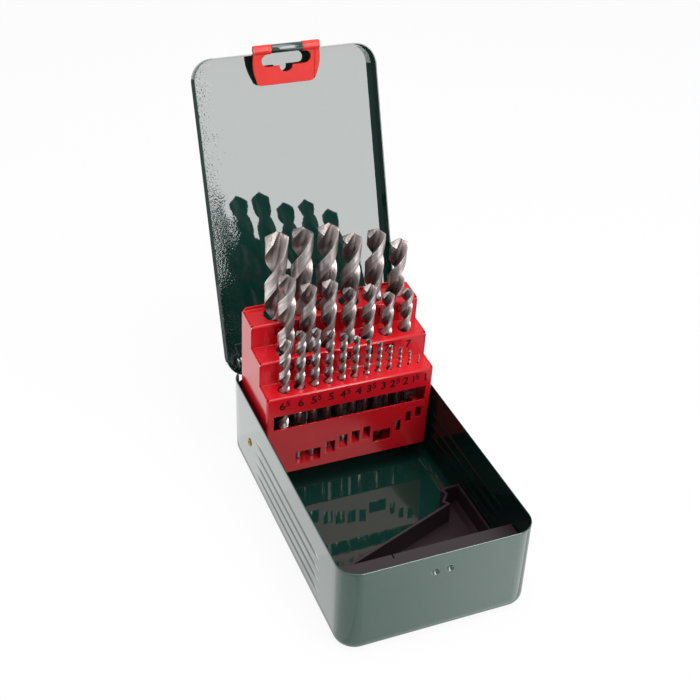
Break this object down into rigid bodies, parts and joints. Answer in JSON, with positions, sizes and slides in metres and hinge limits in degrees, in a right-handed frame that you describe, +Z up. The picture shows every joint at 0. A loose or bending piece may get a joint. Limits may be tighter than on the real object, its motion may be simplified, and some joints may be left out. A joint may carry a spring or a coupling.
{
  "type": "drill bit case",
  "caption": "Hinged pressed-metal case whose stepped drill rack stands up as the lid opens, with a parts tray and a snap latch.",
  "frame": {"origin": "middle of the case's flat underside", "axes": "+X to the right seen from the latch side, +Y from the latch wall to the hinge, +Z up; lid open at rest"},
  "size_m": [0.1114, 0.2531, 0.2353],
  "materials": {
    "case_paint": "dark green gloss paint",
    "wire_steel": "drawn wire",
    "latch_plastic": "moulded, semi-gloss red",
    "rack_paint": "red gloss paint",
    "insert_plastic": "moulded, satin black",
    "rivet_brass": "plain",
    "link_steel": "zinc plated",
    "drill_steel": "ground high-speed steel"
  },
  "bodies": {
    "case": {"base_case": "case_paint", "hinge_pin": "wire_steel", "front_shelf": "insert_plastic", "parts_tray": "insert_plastic", "pivot_rivets": "rivet_brass", "pivot_spacers": "link_steel"},
    "lid": {"lid": "case_paint", "lid_link_pins": "link_steel"},
    "rack": {"drill_rack": "rack_paint", "rack_floor": "rack_paint", "rack_link_pins": "link_steel"},
    "links": {"lift_links": "link_steel"},
    "latch_wire": {"latch_pin": "wire_steel"},
    "latch": {"latch": "latch_plastic"},
    "bit_01_0": {"drill_01_0": "drill_steel"},
    "bit_01_5": {"drill_01_5": "drill_steel"},
    "bit_02_0": {"drill_02_0": "drill_steel"},
    "bit_02_5": {"drill_02_5": "drill_steel"},
    "bit_03_0": {"drill_03_0": "drill_steel"},
    "bit_03_5": {"drill_03_5": "drill_steel"},
    "bit_04_0": {"drill_04_0": "drill_steel"},
    "bit_04_5": {"drill_04_5": "drill_steel"},
    "bit_05_0": {"drill_05_0": "drill_steel"},
    "bit_05_5": {"drill_05_5": "drill_steel"},
    "bit_06_0": {"drill_06_0": "drill_steel"},
    "bit_06_5": {"drill_06_5": "drill_steel"},
    "bit_07_0": {"drill_07_0": "drill_steel"},
    "bit_07_5": {"drill_07_5": "drill_steel"},
    "bit_08_0": {"drill_08_0": "drill_steel"},
    "bit_08_5": {"drill_08_5": "drill_steel"},
    "bit_09_0": {"drill_09_0": "drill_steel"},
    "bit_09_5": {"drill_09_5": "drill_steel"},
    "bit_10_0": {"drill_10_0": "drill_steel"},
    "bit_10_5": {"drill_10_5": "drill_steel"},
    "bit_11_0": {"drill_11_0": "drill_steel"},
    "bit_11_5": {"drill_11_5": "drill_steel"},
    "bit_12_0": {"drill_12_0": "drill_steel"},
    "bit_12_5": {"drill_12_5": "drill_steel"},
    "bit_13_0": {"drill_13_0": "drill_steel"}
  },
  "joints": [
    {"name": "lid_swing", "type": "hinge", "parent": "case", "child": "lid", "pos_m": [0, 0.0937, 0.0507], "axis": [-1, 0, 0], "range_deg": [-108.5, 0]},
    {"name": "rack_tilt", "type": "hinge", "parent": "case", "child": "rack", "pos_m": [0, 0.0572, 0.0281], "axis": [-1, 0, 0], "range_deg": [-86.53, 0]},
    {"name": "lift_link_swing", "type": "hinge", "parent": "rack", "child": "links", "pos_m": [0, 0.05958, 0.03743], "axis": [-1, 0, 0], "range_deg": [0, 86.53]},
    {"name": "latch_hang", "type": "hinge", "parent": "lid", "child": "latch_wire", "pos_m": [0, 0.15024, 0.23261], "axis": [-1, 0, 0], "range_deg": [0, 108.51]},
    {"name": "latch_swing", "type": "hinge", "parent": "latch_wire", "child": "latch", "pos_m": [0, 0.15024, 0.23261], "axis": [-1, 0, 0], "range_deg": [0, 100]},
    {"name": "lift_01_0", "type": "slide", "parent": "rack", "child": "bit_01_0", "axis": [0, -0.0606, 0.9982], "range_m": [0, 0.0295]},
    {"name": "lift_01_5", "type": "slide", "parent": "rack", "child": "bit_01_5", "axis": [0, -0.0606, 0.9982], "range_m": [0, 0.0317]},
    {"name": "lift_02_0", "type": "slide", "parent": "rack", "child": "bit_02_0", "axis": [0, -0.0606, 0.9982], "range_m": [0, 0.0368]},
    {"name": "lift_02_5", "type": "slide", "parent": "rack", "child": "bit_02_5", "axis": [0, -0.0606, 0.9982], "range_m": [0, 0.0416]},
    {"name": "lift_03_0", "type": "slide", "parent": "rack", "child": "bit_03_0", "axis": [0, -0.0606, 0.9982], "range_m": [0, 0.0416]},
    {"name": "lift_03_5", "type": "slide", "parent": "rack", "child": "bit_03_5", "axis": [0, -0.0606, 0.9982], "range_m": [0, 0.0469]},
    {"name": "lift_04_0", "type": "slide", "parent": "rack", "child": "bit_04_0", "axis": [0, -0.0606, 0.9982], "range_m": [0, 0.048]},
    {"name": "lift_04_5", "type": "slide", "parent": "rack", "child": "bit_04_5", "axis": [0, -0.0606, 0.9982], "range_m": [0, 0.0495]},
    {"name": "lift_05_0", "type": "slide", "parent": "rack", "child": "bit_05_0", "axis": [0, -0.0606, 0.9982], "range_m": [0, 0.0517]},
    {"name": "lift_05_5", "type": "slide", "parent": "rack", "child": "bit_05_5", "axis": [0, -0.0606, 0.9982], "range_m": [0, 0.055]},
    {"name": "lift_06_0", "type": "slide", "parent": "rack", "child": "bit_06_0", "axis": [0, -0.0606, 0.9982], "range_m": [0, 0.055]},
    {"name": "lift_06_5", "type": "slide", "parent": "rack", "child": "bit_06_5", "axis": [0, -0.0606, 0.9982], "range_m": [0, 0.0665]},
    {"name": "lift_07_0", "type": "slide", "parent": "rack", "child": "bit_07_0", "axis": [0, -0.0606, 0.9982], "range_m": [0, 0.0822]},
    {"name": "lift_07_5", "type": "slide", "parent": "rack", "child": "bit_07_5", "axis": [0, -0.0606, 0.9982], "range_m": [0, 0.0822]},
    {"name": "lift_08_0", "type": "slide", "parent": "rack", "child": "bit_08_0", "axis": [0, -0.0606, 0.9982], "range_m": [0, 0.0822]},
    {"name": "lift_08_5", "type": "slide", "parent": "rack", "child": "bit_08_5", "axis": [0, -0.0606, 0.9982], "range_m": [0, 0.0822]},
    {"name": "lift_09_0", "type": "slide", "parent": "rack", "child": "bit_09_0", "axis": [0, -0.0606, 0.9982], "range_m": [0, 0.0822]},
    {"name": "lift_09_5", "type": "slide", "parent": "rack", "child": "bit_09_5", "axis": [0, -0.0606, 0.9982], "range_m": [0, 0.0822]},
    {"name": "lift_10_0", "type": "slide", "parent": "rack", "child": "bit_10_0", "axis": [0, -0.0606, 0.9982], "range_m": [0, 0.0822]},
    {"name": "lift_10_5", "type": "slide", "parent": "rack", "child": "bit_10_5", "axis": [0, -0.0606, 0.9982], "range_m": [0, 0.097]},
    {"name": "lift_11_0", "type": "slide", "parent": "rack", "child": "bit_11_0", "axis": [0, -0.0606, 0.9982], "range_m": [0, 0.097]},
    {"name": "lift_11_5", "type": "slide", "parent": "rack", "child": "bit_11_5", "axis": [0, -0.0606, 0.9982], "range_m": [0, 0.097]},
    {"name": "lift_12_0", "type": "slide", "parent": "rack", "child": "bit_12_0", "axis": [0, -0.0606, 0.9982], "range_m": [0, 0.097]},
    {"name": "lift_12_5", "type": "slide", "parent": "rack", "child": "bit_12_5", "axis": [0, -0.0606, 0.9982], "range_m": [0, 0.097]},
    {"name": "lift_13_0", "type": "slide", "parent": "rack", "child": "bit_13_0", "axis": [0, -0.0606, 0.9982], "range_m": [0, 0.097]}
  ],
  "couplings": [
    {"joint": "rack_tilt", "follows": "lid_swing", "ratio": 0.79746},
    {"joint": "lift_link_swing", "follows": "lid_swing", "ratio": -0.79746},
    {"joint": "latch_hang", "follows": "lid_swing", "ratio": -1}
  ]
}
